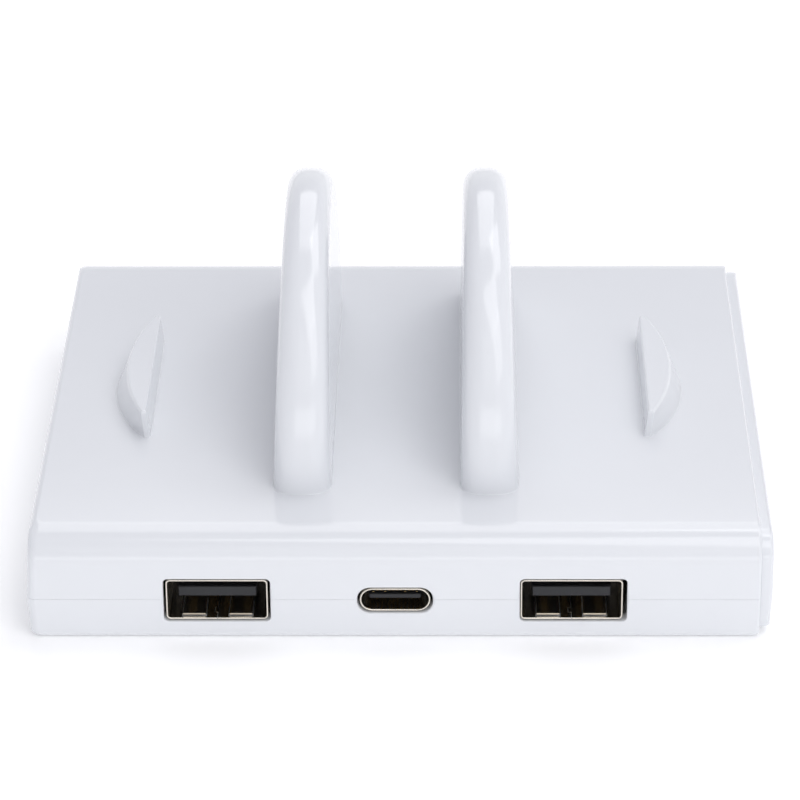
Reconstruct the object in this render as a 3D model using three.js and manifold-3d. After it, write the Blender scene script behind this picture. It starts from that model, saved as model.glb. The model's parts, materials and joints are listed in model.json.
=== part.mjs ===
// A mains USB charger in the form of a low slab with a cradle for three devices on its top.
// Millimetres, +X right along the row of ports, +Y back from the ports, +Z up.
// The origin is the middle of the flat underside.
//
// The slab is two moulded shells that meet at a parting line, with an end cap held between them
// at the right. A two-blade plug folds out of a well in the underside, by the end cap. Inside are
// one circuit board, three USB receptacles and the parts of a mains power supply.

import * as THREE from 'three';
import { mergeVertices } from 'three/addons/utils/BufferGeometryUtils.js';
import Module from 'manifold-3d';

// ---------------------------------------------------------------- driving dimensions

const fitGap = 0.3;
const roundSides = 16;
const slabSize = { width: 93.2, depth: 82.6, height: 14.4 };
const halfWidth = slabSize.width / 2;
const halfDepth = slabSize.depth / 2;
const partingHeight = 5.8;
const seamGap = 0.12;
const wallThickness = 1.8;
const draftSlope = Math.tan(THREE.MathUtils.degToRad(2.9));
const shellEndX = 46.1;

// The edges of the slab: how far each round runs across and how far it runs down.
const frontRound = { across: 4.5, down: 3.9 };
const backRound = { across: 5.0, down: 3.0 };
const sideRound = { across: 0.9, down: 0.9 };
const footRound = 1.0;
const cornerRound = 1.2;

const lip = { outerInset: 1.2, start: 4, top: 6.9, rebateInset: 0.9, rebateTop: 7.2 };

const fin = { radius: 29.6, innerX: 8.3, outerX: 15.75, innerLean: 0.4, outerLean: 1.2, rimRound: 2.3 };
const finCore = { wall: 2.2, width: 2.6, sunk: 3, offset: -0.2 };
const nub = {
  innerX: 32.4, length: 28, bulge: 4.8, bluntWidth: 0.8, height: 3.9, topBulge: 0.55, lean: 0.4,
};

const portSpacing = 22.5;
const portHeight = 5.6;
const portFaceY = -40.95;
const usbA = { width: 13.1, height: 5.72, length: 13.4, sheet: 0.3, cornerRound: 0.5 };
const usbTab = { offset: 3.2, width: 2.8, length: 6, setback: 1.4, rise: 0.55, thickness: 0.25 };
const usbC = { width: 8.94, height: 3.26, length: 7.6, sheet: 0.3 };

const cap = {
  outerX: 47.65, plateInset: 1.0, blockInset: 2.1, flangeInset: 1.2, wall: 1.2,
  startX: 43.8, flangeEndX: 44.7,
};
// The cap's notches: a wide one inside the housing, and a narrow one that the plug folds through.
const capNotch = { wideHalf: 12.8, wideTop: 9.0, narrowHalf: 8.6, narrowTop: 7.5 };
const capTab = { innerY: 8.75, outerY: 9.6 };

// The folding plug turns about an axis along Y, close to the lower right corner of the slab.
const pivot = { x: 43.4, z: 3.75 };
const drum = { radius: 3.3, halfLength: 7.9, flat: 3.05, cup: 0.9 };
const blade = {
  spacing: 12.7, thickness: 1.5, width: 6.35, reach: 20.75, start: 3.65, rootHeight: 3.0, tipRound: 1.6,
  holeRadius: 1.6, holeFromTip: 4.6,
};
const axle = { radius: 1.5, endY: 11.9 };
const well = { startX: 22.0, halfWidth: 8.4, top: 7.3, wall: 1.5, ceiling: 1.2, floor: 0.5 };
const bearing = { innerY: 8.2, outerY: 10.2 };
const contactPost = { startX: 33.5, endX: 39.0, outerY: 12.4, top: 6.0 };
const springSlot = { startX: 40.0, halfWidth: 3.4 };
const contactStrip = { innerY: 10.2, outerY: 11.8, thickness: 0.35 };
const detentStrip = { halfWidth: 2.6, thickness: 0.35 };

const board = { bottom: 3.0, thickness: 1.2, left: -42.6, right: 39.4, halfDepth: 38.6 };
const boardTop = board.bottom + board.thickness;
const seatHeight = boardTop + fitGap;
const film = { bottom: 2.1, top: 2.4, clearance: 0.4 };
const bosses = [[-38.3, -32.6], [-38.3, 32.6], [36.4, -32.2], [36.4, 32.2]];
const boss = {
  lowerRadius: 3.7, lowerTop: 5.2, upperRadius: 3.0, upperStart: 5.55,
  holeRadius: 1.4, holeTop: 11.3, holeSides: 12,
};
const screw = {
  headRadius: 2.3, headBottom: 0.5, headTop: 2.0, shankRadius: 1.1, tip: 10.8,
  recessRadius: 2.7, recessTop: 2.3, crossHalf: 1.3, crossHalfWidth: 0.35, crossDepth: 0.8,
};

// ---------------------------------------------------------------- materials

const material = (color, roughness, metalness) => (
  new THREE.MeshStandardMaterial({ color, roughness, metalness })
);
const finish = {
  whiteGloss: () => material(0xf2f3f7, 0.12, 0),
  blackPlastic: () => material(0x17181b, 0.45, 0),
  nickel: () => material(0xc9c6bf, 0.25, 1),
  gold: () => material(0xd8b268, 0.3, 1),
  brass: () => material(0xc9b06a, 0.3, 1),
  spring: () => material(0xc79a5e, 0.35, 1),
  steel: () => material(0xa9acb0, 0.4, 1),
  aluminium: () => material(0xc4c7ca, 0.45, 1),
  boardGreen: () => material(0x1f5b36, 0.5, 0),
  ferrite: () => material(0x2d2e31, 0.7, 0),
  tape: () => material(0xd8b62c, 0.5, 0),
  copper: () => material(0xb8692f, 0.3, 1),
  capSleeve: () => material(0x232730, 0.35, 0),
  boxYellow: () => material(0xd9ad2a, 0.5, 0),
  discBlue: () => material(0x2b62a8, 0.4, 0),
  film: () => material(0xe9e6d8, 0.4, 0),
  wireBlack: () => material(0x1c1c1c, 0.5, 0),
  wireWhite: () => material(0xe8e8e6, 0.5, 0),
};

// ---------------------------------------------------------------- solids and booleans

const wasm = await Module();
wasm.setup();

function solidOf(geometry) {
  const bare = geometry.clone();
  bare.deleteAttribute('normal');
  bare.deleteAttribute('uv');
  const merged = mergeVertices(bare, 1e-4);
  return new wasm.Manifold(new wasm.Mesh({
    numProp: 3,
    vertProperties: new Float32Array(merged.attributes.position.array),
    triVerts: new Uint32Array(merged.index.array),
  }));
}

function geometryOf(solid) {
  const mesh = solid.getMesh();
  const geometry = new THREE.BufferGeometry();
  geometry.setAttribute('position', new THREE.BufferAttribute(new Float32Array(mesh.vertProperties), 3));
  geometry.setIndex(new THREE.BufferAttribute(new Uint32Array(mesh.triVerts), 1));
  geometry.computeVertexNormals();
  return geometry;
}

// Low and high Y of a stretch that lies as far from the middle plane on either side.
const mirroredSpan = (side, inner, outer) => (side < 0 ? [-outer, -inner] : [inner, outer]);
const pointsOf = (pairs) => pairs.map(([x, y]) => new THREE.Vector2(x, y));

const joined = (first, ...rest) => rest.reduce((whole, piece) => whole.add(piece), first);
const cut = (first, ...rest) => rest.reduce((whole, piece) => whole.subtract(piece), first);

// A box given by its low and high corners.
function boxGeometry([x0, y0, z0], [x1, y1, z1]) {
  const geometry = new THREE.BoxGeometry(x1 - x0, y1 - y0, z1 - z0);
  return geometry.translate((x0 + x1) / 2, (y0 + y1) / 2, (z0 + z1) / 2);
}
const box = (low, high) => solidOf(boxGeometry(low, high));

// Round bars along Z and along Y.
function rod([x, y], z0, z1, radius, sides = roundSides) {
  const geometry = new THREE.CylinderGeometry(radius, radius, z1 - z0, sides);
  return solidOf(geometry.rotateX(Math.PI / 2).translate(x, y, (z0 + z1) / 2));
}
function rodAlongY([x, z], y0, y1, radius, sides = roundSides) {
  const geometry = new THREE.CylinderGeometry(radius, radius, y1 - y0, sides);
  return solidOf(geometry.translate(x, (y0 + y1) / 2, z));
}

// An outline drawn in the XZ plane and pushed along Y from y0 to y1.
function extrudedAlongY(shape, y0, y1, curveSegments = 8) {
  const geometry = new THREE.ExtrudeGeometry(shape, { depth: y1 - y0, bevelEnabled: false, curveSegments });
  return geometry.rotateX(Math.PI / 2).translate(0, y1, 0);
}
// An outline drawn in the XY plane and pushed up from z0 to z1.
function extrudedUp(shape, z0, z1, curveSegments = 8) {
  const geometry = new THREE.ExtrudeGeometry(shape, { depth: z1 - z0, bevelEnabled: false, curveSegments });
  return geometry.translate(0, 0, z0);
}

function roundedRectangle(halfX, halfY, radius) {
  const shape = new THREE.Shape();
  shape.moveTo(halfX, -halfY + radius);
  shape.lineTo(halfX, halfY - radius);
  shape.absarc(halfX - radius, halfY - radius, radius, 0, Math.PI / 2);
  shape.lineTo(-halfX + radius, halfY);
  shape.absarc(-halfX + radius, halfY - radius, radius, Math.PI / 2, Math.PI);
  shape.lineTo(-halfX, -halfY + radius);
  shape.absarc(-halfX + radius, -halfY + radius, radius, Math.PI, 1.5 * Math.PI);
  shape.lineTo(halfX - radius, -halfY);
  shape.absarc(halfX - radius, -halfY + radius, radius, 1.5 * Math.PI, 2 * Math.PI);
  return shape;
}

// An outline drawn in the YZ plane and pushed along X by width, from x = 0.
function extrudedAlongX(outline, width) {
  const shape = new THREE.Shape(pointsOf(outline));
  const geometry = new THREE.ExtrudeGeometry(shape, { depth: width, bevelEnabled: false });
  return geometry.rotateX(Math.PI / 2).rotateZ(Math.PI / 2);
}

// A strip of sheet metal: the middle line of its bends in the XZ plane, its thickness and its width.
function bentStrip(points, thickness, y0, y1) {
  const middle = pointsOf(points);
  const offsetAt = (index) => {
    const before = middle[Math.max(index - 1, 0)];
    const after = middle[Math.min(index + 1, middle.length - 1)];
    const along = after.clone().sub(before).normalize();
    return new THREE.Vector2(-along.y, along.x).multiplyScalar(thickness / 2);
  };
  const upper = middle.map((point, index) => point.clone().add(offsetAt(index)));
  const lower = middle.map((point, index) => point.clone().sub(offsetAt(index)));
  return extrudedAlongY(new THREE.Shape([...lower, ...upper.reverse()]), y0, y1);
}

// A round wire along a smooth curve through the given points.
function wire(points, radius) {
  const path = new THREE.CatmullRomCurve3(points.map((point) => new THREE.Vector3(...point)));
  const section = new THREE.Shape();
  section.absarc(0, 0, radius, 0, 2 * Math.PI);
  return new THREE.ExtrudeGeometry(section, { steps: 18, extrudePath: path, curveSegments: 4 });
}

// ---------------------------------------------------------------- the slab's outer form

// How far an edge round sets the wall back, at a distance below (or above) the face it rounds into.
function roundSetback(distance, across, down) {
  if (distance >= down) return 0;
  const rise = 1 - distance / down;
  return across * (1 - Math.sqrt(1 - rise * rise));
}

const shrunk = (size, inset) => Math.max(size - inset, 0.4);

// The slab's outline at height z, moved inwards by inset: a rectangle with round corners.
function outlineAt(z, inset, endX) {
  const below = slabSize.height - inset - z;
  const above = z - inset;
  const foot = shrunk(footRound, inset);
  const common = inset + draftSlope * Math.abs(z - partingHeight) + roundSetback(above, foot, foot);
  const topSetback = (round) => roundSetback(below, shrunk(round.across, inset), shrunk(round.down, inset));
  const right = endX ?? halfWidth - common - topSetback(sideRound);
  const left = -(halfWidth - common - topSetback(sideRound));
  const front = -(halfDepth - common - topSetback(frontRound));
  const back = halfDepth - common - topSetback(backRound);
  return { left, right, front, back, radius: shrunk(cornerRound, inset / 2) };
}

function outlinePoints({ left, right, front, back, radius }, z, cornerSteps) {
  const corners = [[right - radius, back - radius], [left + radius, back - radius],
    [left + radius, front + radius], [right - radius, front + radius]];
  return corners.flatMap(([x, y], quarter) => Array.from({ length: cornerSteps + 1 }, (_, step) => {
    const angle = (quarter + step / cornerSteps) * Math.PI / 2;
    return new THREE.Vector3(x + radius * Math.cos(angle), y + radius * Math.sin(angle), z);
  }));
}

// A closed skin over a stack of rings that all have the same number of points.
function loft(rings) {
  const count = rings[0].length;
  const positions = rings.flat().flatMap((point) => point.toArray());
  const index = [];
  for (let ring = 0; ring + 1 < rings.length; ring += 1) {
    for (let step = 0; step < count; step += 1) {
      const here = ring * count + step;
      const next = ring * count + (step + 1) % count;
      index.push(here, next, next + count, here, next + count, here + count);
    }
  }
  const last = (rings.length - 1) * count;
  for (let step = 1; step + 1 < count; step += 1) {
    index.push(0, step + 1, step);
    index.push(last, last + step, last + step + 1);
  }
  const geometry = new THREE.BufferGeometry();
  geometry.setAttribute('position', new THREE.Float32BufferAttribute(positions, 3));
  geometry.setIndex(index);
  return geometry;
}

// The whole slab form moved inwards by inset. With endX its right end is a straight cut there.
function slabForm(inset, endX) {
  const foot = shrunk(footRound, inset);
  const crown = shrunk(frontRound.down, inset);
  const footSteps = [0, 0.25, 1].map((share) => inset + foot * share);
  const crownSteps = [8, 6, 4, 3, 2, 1, 0].map((step) => slabSize.height - inset - crown * (step / 8) ** 2);
  const heights = [...footSteps, partingHeight, ...crownSteps];
  return solidOf(loft(heights.map((z) => outlinePoints(outlineAt(z, inset, endX), z, 4))));
}

// The part of the slab form between two heights.
const farAway = 200;
const between = (solid, z0, z1) => solid.intersect(box([-farAway, -farAway, z0], [farAway, farAway, z1]));
const betweenX = (solid, x0, x1) => solid.intersect(box([x0, -farAway, -farAway], [x1, farAway, farAway]));

// ---------------------------------------------------------------- the cradle

// A half-disc divider to one side of the middle. Its foot runs down into the slab's roof.
function finSolid(side) {
  const sunk = 1.4;
  const disc = new THREE.Shape();
  const flat = fin.radius - fin.rimRound;
  disc.moveTo(-flat, -sunk);
  disc.lineTo(flat, -sunk);
  disc.lineTo(flat, 0);
  disc.absarc(0, 0, flat, 0, Math.PI);
  disc.lineTo(-flat, 0);
  const width = fin.outerX - fin.innerX;
  const geometry = new THREE.ExtrudeGeometry(disc, {
    depth: width - 2 * fin.rimRound,
    bevelSize: fin.rimRound,
    bevelThickness: fin.rimRound,
    bevelSegments: 3,
    curveSegments: 15,
  });
  // The disc is drawn in XY: stand it up so that its thickness runs along X.
  geometry.rotateX(Math.PI / 2).rotateZ(Math.PI / 2);
  geometry.computeBoundingBox();
  geometry.translate(fin.innerX - geometry.boundingBox.min.x, 0, slabSize.height);
  leanIn(geometry, (share) => {
    const inner = fin.innerX + fin.innerLean * share;
    const outer = fin.outerX - fin.outerLean * share;
    return (x) => inner + (x - fin.innerX) / width * (outer - inner);
  }, fin.radius);
  return solidOf(side < 0 ? mirroredX(geometry) : geometry);
}

// Moves each point along X by a rule that depends on its height above the slab's top.
function leanIn(geometry, ruleAt, height) {
  const position = geometry.attributes.position;
  for (let index = 0; index < position.count; index += 1) {
    const share = Math.max(position.getZ(index) - slabSize.height, 0) / height;
    position.setX(index, ruleAt(share)(position.getX(index)));
  }
}

// The same shape on the other side of the middle plane, with its faces still pointing out.
function mirroredX(geometry) {
  const flat = geometry.index ? geometry.toNonIndexed() : geometry.clone();
  const position = flat.attributes.position;
  for (let corner = 0; corner < position.count; corner += 3) {
    const at = (offset) => new THREE.Vector3().fromBufferAttribute(position, corner + offset);
    const [a, b, c] = [at(0), at(1), at(2)];
    [a, c, b].forEach((point, offset) => position.setXYZ(corner + offset, -point.x, point.y, point.z));
  }
  return flat;
}

function finCoreSolid(side) {
  const core = new THREE.Shape();
  const radius = fin.radius - finCore.wall;
  core.moveTo(-radius, -finCore.sunk);
  core.lineTo(radius, -finCore.sunk);
  core.lineTo(radius, 0);
  core.absarc(0, 0, radius, 0, Math.PI);
  const drawn = { depth: finCore.width, bevelEnabled: false, curveSegments: 8 };
  const geometry = new THREE.ExtrudeGeometry(core, drawn);
  const middle = (fin.innerX + fin.outerX) / 2 + finCore.offset;
  geometry.rotateX(Math.PI / 2).rotateZ(Math.PI / 2);
  geometry.computeBoundingBox();
  geometry.translate(middle - finCore.width / 2 - geometry.boundingBox.min.x, 0, slabSize.height);
  return solidOf(side < 0 ? mirroredX(geometry) : geometry);
}

// A low half-moon stop with its flat side towards the fins.
function nubSolid(side) {
  const half = nub.length / 2;
  const arcRadius = (half * half + nub.bulge * nub.bulge) / (2 * nub.bulge);
  const sweep = Math.asin(half / arcRadius);
  const plan = new THREE.Shape();
  plan.moveTo(0, half);
  plan.lineTo(0, -half);
  plan.lineTo(nub.bluntWidth, -half);
  plan.absarc(nub.bluntWidth + nub.bulge - arcRadius, 0, arcRadius, -sweep, sweep);
  const sunk = 1;
  const geometry = extrudedUp(plan, slabSize.height - sunk, slabSize.height + nub.height, 7);
  leanIn(geometry, (share) => {
    const narrowed = 1 - (1 - nub.topBulge) * share;
    return (x) => nub.innerX + nub.lean * share + x * narrowed;
  }, nub.height);
  return solidOf(side < 0 ? mirroredX(geometry) : geometry);
}

// ---------------------------------------------------------------- the housing

const portCentres = [-portSpacing, 0, portSpacing];

function portCut(x) {
  const size = x === 0 ? usbC : usbA;
  const halfX = size.width / 2 + fitGap;
  const halfZ = size.height / 2 + fitGap;
  const radius = x === 0 ? halfZ - 0.01 : usbA.cornerRound;
  const shape = roundedRectangle(halfX, halfZ, radius);
  const geometry = extrudedAlongY(shape, -halfDepth - 2, -halfDepth + 5, 4);
  return solidOf(geometry.translate(x, 0, portHeight));
}

const endWindow = () => betweenX(slabForm(wallThickness, farAway), shellEndX - 4, shellEndX + 2);
const endGroove = () => (
  betweenX(slabForm(lip.rebateInset, farAway), cap.startX - fitGap, cap.flangeEndX + fitGap)
);
const pastTheEnd = () => box([shellEndX, -farAway, -farAway], [farAway, farAway, farAway]);

function topHousing() {
  const roof = between(slabForm(0), partingHeight + seamGap / 2, farAway);
  const { upperStart, upperRadius, holeTop, holeRadius, holeSides } = boss;
  const bossPosts = bosses.map((place) => rod(place, upperStart, slabSize.height - 1, upperRadius));
  const pilotHoles = bosses.map((place) => rod(place, upperStart - 1, holeTop, holeRadius, holeSides));
  const hollowRoof = cut(
    joined(roof, finSolid(-1), finSolid(1), nubSolid(-1), nubSolid(1)),
    slabForm(wallThickness),
    between(slabForm(lip.rebateInset), 0, lip.rebateTop),
    endWindow(),
    endGroove(),
    pastTheEnd(),
    finCoreSolid(-1),
    finCoreSolid(1),
    ...portCentres.map(portCut),
  );
  return cut(joined(hollowRoof, ...bossPosts), ...pilotHoles);
}

// The walls of the blade well, with a post on each side for a plug contact to be fixed to.
function plugWellWalls() {
  const outerHalf = well.halfWidth + well.wall;
  const walls = box(
    [well.startX - well.wall, -outerHalf, well.floor],
    [shellEndX, outerHalf, well.top + well.ceiling],
  );
  const contactPosts = [-1, 1].map((side) => {
    const [low, high] = mirroredSpan(side, outerHalf - 0.2, contactPost.outerY);
    return box([contactPost.startX, low, well.floor], [contactPost.endX, high, contactPost.top]);
  });
  return joined(walls, ...contactPosts);
}

// The open-ended slots in the well's side walls that the plug's axle turns in.
function axleSlots() {
  const radius = axle.radius + fitGap;
  return [-1, 1].flatMap((side) => {
    const [low, high] = mirroredSpan(side, bearing.innerY, bearing.outerY);
    return [
      box([pivot.x, low, pivot.z - radius], [shellEndX + 1, high, pivot.z + radius]),
      rodAlongY([pivot.x, pivot.z], low, high, radius),
    ];
  });
}

function bottomHousing() {
  const { lowerRadius, lowerTop, holeRadius, holeSides } = boss;
  const tray = between(slabForm(0), -1, partingHeight - seamGap / 2);
  const lipRing = cut(between(slabForm(lip.outerInset), lip.start, lip.top), slabForm(wallThickness));
  const posts = bosses.map((place) => rod(place, 1, lowerTop, lowerRadius));
  const shell = cut(
    joined(cut(tray, slabForm(wallThickness)), lipRing),
    endWindow(),
    endGroove(),
    pastTheEnd(),
    ...portCentres.map(portCut),
  );
  const bladeWell = box([well.startX, -well.halfWidth, -1], [shellEndX + 1, well.halfWidth, well.top]);
  const slotForSpring = box(
    [springSlot.startX, -springSlot.halfWidth, well.top - 1],
    [shellEndX + 1, springSlot.halfWidth, well.top + 2],
  );
  return cut(
    joined(shell, ...posts, plugWellWalls()),
    bladeWell,
    slotForSpring,
    ...axleSlots(),
    ...bosses.map((place) => rod(place, -1, screw.recessTop, screw.recessRadius)),
    ...bosses.map((place) => rod(place, 0, lowerTop + 1, holeRadius, holeSides)),
  );
}

// The lid in the open right end of the shells. Its tabs keep the plug's axle in its slots.
function plugEndCap() {
  const plate = betweenX(slabForm(cap.plateInset, farAway), shellEndX + fitGap, cap.outerX);
  const block = betweenX(slabForm(cap.blockInset, farAway), cap.startX, shellEndX + 1);
  const flange = betweenX(slabForm(cap.flangeInset, farAway), cap.startX, cap.flangeEndX);
  const hollow = betweenX(slabForm(cap.blockInset + cap.wall, farAway), cap.startX - 1, shellEndX - 0.2);
  const tabs = [-1, 1].map((side) => {
    const [low, high] = mirroredSpan(side, capTab.innerY, capTab.outerY);
    const start = pivot.x + axle.radius + fitGap;
    return box([start, low, pivot.z - axle.radius], [shellEndX + 1, high, pivot.z + axle.radius]);
  });
  const { wideHalf, wideTop, narrowHalf, narrowTop } = capNotch;
  const openLid = cut(
    joined(cut(joined(block, flange), hollow), plate),
    box([cap.startX - 1, -wideHalf, -1], [shellEndX + fitGap, wideHalf, wideTop]),
    box([cap.startX - 1, -narrowHalf, -1], [cap.outerX + 1, narrowHalf, narrowTop]),
  );
  return joined(openLid, ...tabs);
}

// ---------------------------------------------------------------- the folding plug

// The drum between the bearings: flat above and below, slotted for the blades, cupped at its ends.
function plugCarrier() {
  const length = 2 * drum.halfLength;
  const barrel = rodAlongY([pivot.x, pivot.z], -drum.halfLength, drum.halfLength, drum.radius, 32);
  const flatted = barrel.intersect(box(
    [pivot.x - drum.radius - 1, -length, pivot.z - drum.flat],
    [pivot.x + drum.radius + 1, length, pivot.z + drum.flat],
  ));
  const slotHalf = blade.rootHeight / 2 + fitGap;
  const cuts = [-1, 1].flatMap((side) => {
    const middle = side * blade.spacing / 2;
    const half = blade.thickness / 2 + fitGap;
    const [low, high] = mirroredSpan(side, drum.halfLength - drum.cup, drum.halfLength + 1);
    return [
      box(
        [pivot.x - drum.radius - 1, middle - half, pivot.z - slotHalf],
        [pivot.x + slotHalf, middle + half, pivot.z + slotHalf],
      ),
      rodAlongY([pivot.x, pivot.z], low, high, axle.radius + fitGap),
    ];
  });
  return cut(flatted, ...cuts);
}

// A flat blade with a round-cornered tip and a hole, made in one with the axle it turns on.
function plugBlade(side) {
  const half = blade.width / 2;
  const { tipRound } = blade;
  const outline = new THREE.Shape();
  outline.moveTo(-blade.start, -half);
  outline.lineTo(-blade.start, -blade.rootHeight / 2);
  outline.lineTo(axle.radius, -blade.rootHeight / 2);
  outline.lineTo(axle.radius, blade.rootHeight / 2);
  outline.lineTo(-blade.start, blade.rootHeight / 2);
  outline.lineTo(-blade.start, half);
  outline.lineTo(-blade.reach + tipRound, half);
  outline.absarc(-blade.reach + tipRound, half - tipRound, tipRound, Math.PI / 2, Math.PI);
  outline.lineTo(-blade.reach, -half + tipRound);
  outline.absarc(-blade.reach + tipRound, -half + tipRound, tipRound, Math.PI, 1.5 * Math.PI);
  const hole = new THREE.Path();
  hole.absarc(blade.holeFromTip - blade.reach, 0, blade.holeRadius, 0, 2 * Math.PI);
  outline.holes.push(hole);
  const middle = side * blade.spacing / 2;
  const plate = extrudedAlongY(outline, middle - blade.thickness / 2, middle + blade.thickness / 2);
  const [low, high] = mirroredSpan(side, blade.spacing / 2, axle.endY);
  return joined(
    solidOf(plate.translate(pivot.x, 0, pivot.z)),
    rodAlongY([pivot.x, pivot.z], low, high, axle.radius),
  );
}

// A strip that presses on the end of a blade's axle from above.
function plugContact(side) {
  const path = [[34, 6.5], [38.6, 6.5], [41.2, 7.0], [pivot.x, 5.75], [45.2, 6.5]];
  const [low, high] = mirroredSpan(side, contactStrip.innerY, contactStrip.outerY);
  return bentStrip(path, contactStrip.thickness, low, high);
}

// A strip on the well's ceiling that presses on the drum's flat, so the plug rests folded or out.
function detentSpring() {
  const path = [[31, 8.98], [40.2, 8.98], [42, 8.1], [pivot.x, 7.57], [45.2, 8.2]];
  return bentStrip(path, detentStrip.thickness, -detentStrip.halfWidth, detentStrip.halfWidth);
}

// ---------------------------------------------------------------- the USB receptacles

// A drawn metal shell, open at both ends, with two spring tabs bent up from its floor.
function usbAShell(x) {
  const halfX = usbA.width / 2;
  const halfZ = usbA.height / 2;
  const outer = roundedRectangle(halfX, halfZ, usbA.cornerRound);
  const inner = roundedRectangle(halfX - usbA.sheet, halfZ - usbA.sheet, usbA.cornerRound - 0.2);
  const back = portFaceY + usbA.length;
  const tube = cut(
    solidOf(extrudedAlongY(outer, portFaceY, back, 3)),
    solidOf(extrudedAlongY(inner, portFaceY - 1, back + 1, 3)),
  );
  const tabs = [-usbTab.offset, usbTab.offset].map((offset) => {
    const front = portFaceY + usbTab.setback;
    const floor = -halfZ + usbA.sheet;
    const strip = extrudedAlongX([
      [front + usbTab.length, floor - 0.2],
      [front, floor + usbTab.rise],
      [front, floor + usbTab.rise + usbTab.thickness],
      [front + usbTab.length, floor + 0.05],
    ], usbTab.width);
    return solidOf(strip.translate(offset - usbTab.width / 2, 0, 0));
  });
  return joined(tube, ...tabs).translate([x, 0, portHeight]);
}

const tongueA = {
  halfWidth: 5.4, top: 7.4, bottom: 5.62, front: portFaceY + 1.3, blockStart: -31, back: -27.9,
};
const contactSlot = { halfWidth: 0.8, height: 0.9 };
const contactA = { width: 1.0, thickness: 0.3, setback: 1.2, footLength: 1.4 };
const contactOffsets = [-3.5, -1.0, 1.0, 3.5];

function usbAInsulator(x) {
  const halfX = usbA.width / 2 - usbA.sheet - fitGap;
  const inner = usbA.height / 2 - usbA.sheet - fitGap;
  const block = box(
    [x - halfX, tongueA.blockStart, portHeight - inner],
    [x + halfX, tongueA.back, portHeight + inner],
  );
  const tongue = box(
    [x - tongueA.halfWidth, tongueA.front, tongueA.bottom],
    [x + tongueA.halfWidth, tongueA.blockStart + 1, tongueA.top],
  );
  const slots = contactOffsets.map((offset) => box(
    [x + offset - contactSlot.halfWidth, tongueA.blockStart - 1, tongueA.bottom - contactSlot.height],
    [x + offset + contactSlot.halfWidth, tongueA.back + 1, tongueA.bottom],
  ));
  return cut(joined(block, tongue), ...slots);
}

// A flat contact under the tongue that steps down to the board behind the shell.
function usbAContact(x) {
  const { width, thickness } = contactA;
  const top = tongueA.bottom - fitGap;
  const front = tongueA.front + contactA.setback;
  const bend = tongueA.back + 1.0;
  const strip = extrudedAlongX([
    [front, top - thickness],
    [bend - thickness, top - thickness],
    [bend - thickness, seatHeight],
    [bend + contactA.footLength, seatHeight],
    [bend + contactA.footLength, seatHeight + thickness],
    [bend, seatHeight + thickness],
    [bend, top],
    [front, top],
  ], width);
  return strip.translate(x - width / 2, 0, 0);
}

function usbCShell() {
  const halfX = usbC.width / 2;
  const halfZ = usbC.height / 2;
  const back = portFaceY + usbC.length;
  const sheet = usbC.sheet;
  const outer = extrudedAlongY(roundedRectangle(halfX, halfZ, halfZ - 0.01), portFaceY, back, 5);
  const inner = roundedRectangle(halfX - sheet, halfZ - sheet, halfZ - sheet - 0.01);
  const tube = cut(solidOf(outer), solidOf(extrudedAlongY(inner, portFaceY - 1, back + 1, 5)));
  return tube.translate([0, 0, portHeight]);
}

const tongueC = { halfWidth: 3.35, halfThickness: 0.35, setback: 0.9 };

function usbCInsulator() {
  const halfZ = usbC.height / 2 - usbC.sheet - fitGap;
  const halfX = usbC.width / 2 - usbC.sheet - fitGap;
  const back = portFaceY + usbC.length;
  const { halfWidth, halfThickness, setback } = tongueC;
  const block = extrudedAlongY(roundedRectangle(halfX, halfZ, halfZ - 0.01), back - 2.2, back - fitGap, 5);
  const tongue = box(
    [-halfWidth, portFaceY + setback, portHeight - halfThickness],
    [halfWidth, back - 1.5, portHeight + halfThickness],
  );
  return joined(solidOf(block.translate(0, 0, portHeight)), tongue);
}

// ---------------------------------------------------------------- the circuit board and its parts

// A sheet that fits round the receptacles, the bosses and the blade well, between two heights.
function sheetAroundParts(z0, z1, clearance) {
  const plate = box([board.left, -board.halfDepth, z0], [board.right, board.halfDepth, z1]);
  const notchHalf = contactPost.outerY + 2 * fitGap + clearance;
  const portSlots = portCentres.map((x) => {
    const size = x === 0 ? usbC : usbA;
    const half = size.width / 2 + fitGap + clearance;
    return box([x - half, -farAway, -1], [x + half, portFaceY + size.length + fitGap + clearance, 20]);
  });
  return cut(
    plate,
    box([well.startX - well.wall - 2 * fitGap, -notchHalf, -1], [farAway, notchHalf, 20]),
    ...portSlots,
    ...bosses.map((place) => rod(place, -1, 20, boss.lowerRadius + 0.4 + clearance)),
  );
}

const transformer = {
  x: -8, y: 5, halfWidth: 10, height: 6.2, middleZ: 8.4, halfDepth: 10, gap: 0.3, legWidth: 2.4,
  middleLegHalf: 3.8, middleLegHeight: 3.2, bobbinReach: 7.2, flange: 0.8,
};

// One half of a low-profile E core. Its legs point to the middle of the transformer.
function coreHalf(side) {
  const { x, y, halfWidth, height, middleZ, halfDepth, gap, legWidth } = transformer;
  const { middleLegHalf, middleLegHeight } = transformer;
  const piece = (x0, x1, inner, outer, high) => {
    const [low, top] = mirroredSpan(side, inner, outer);
    return box([x + x0, y + low, middleZ - high / 2], [x + x1, y + top, middleZ + high / 2]);
  };
  return joined(
    piece(-halfWidth, halfWidth, halfDepth - legWidth, halfDepth, height),
    piece(-halfWidth, legWidth - halfWidth, gap / 2, halfDepth - 1, height),
    piece(halfWidth - legWidth, halfWidth, gap / 2, halfDepth - 1, height),
    piece(-middleLegHalf, middleLegHalf, gap / 2, halfDepth - 1, middleLegHeight),
  );
}

// A rectangular tube along Y around [x, z]: half sizes outside and inside, and its two ends.
function tubeAlongY([x, z], [outerX, outerZ], [innerX, innerZ], y0, y1) {
  return cut(
    box([x - outerX, y0, z - outerZ], [x + outerX, y1, z + outerZ]),
    box([x - innerX, y0 - 1, z - innerZ], [x + innerX, y1 + 1, z + innerZ]),
  );
}

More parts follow.
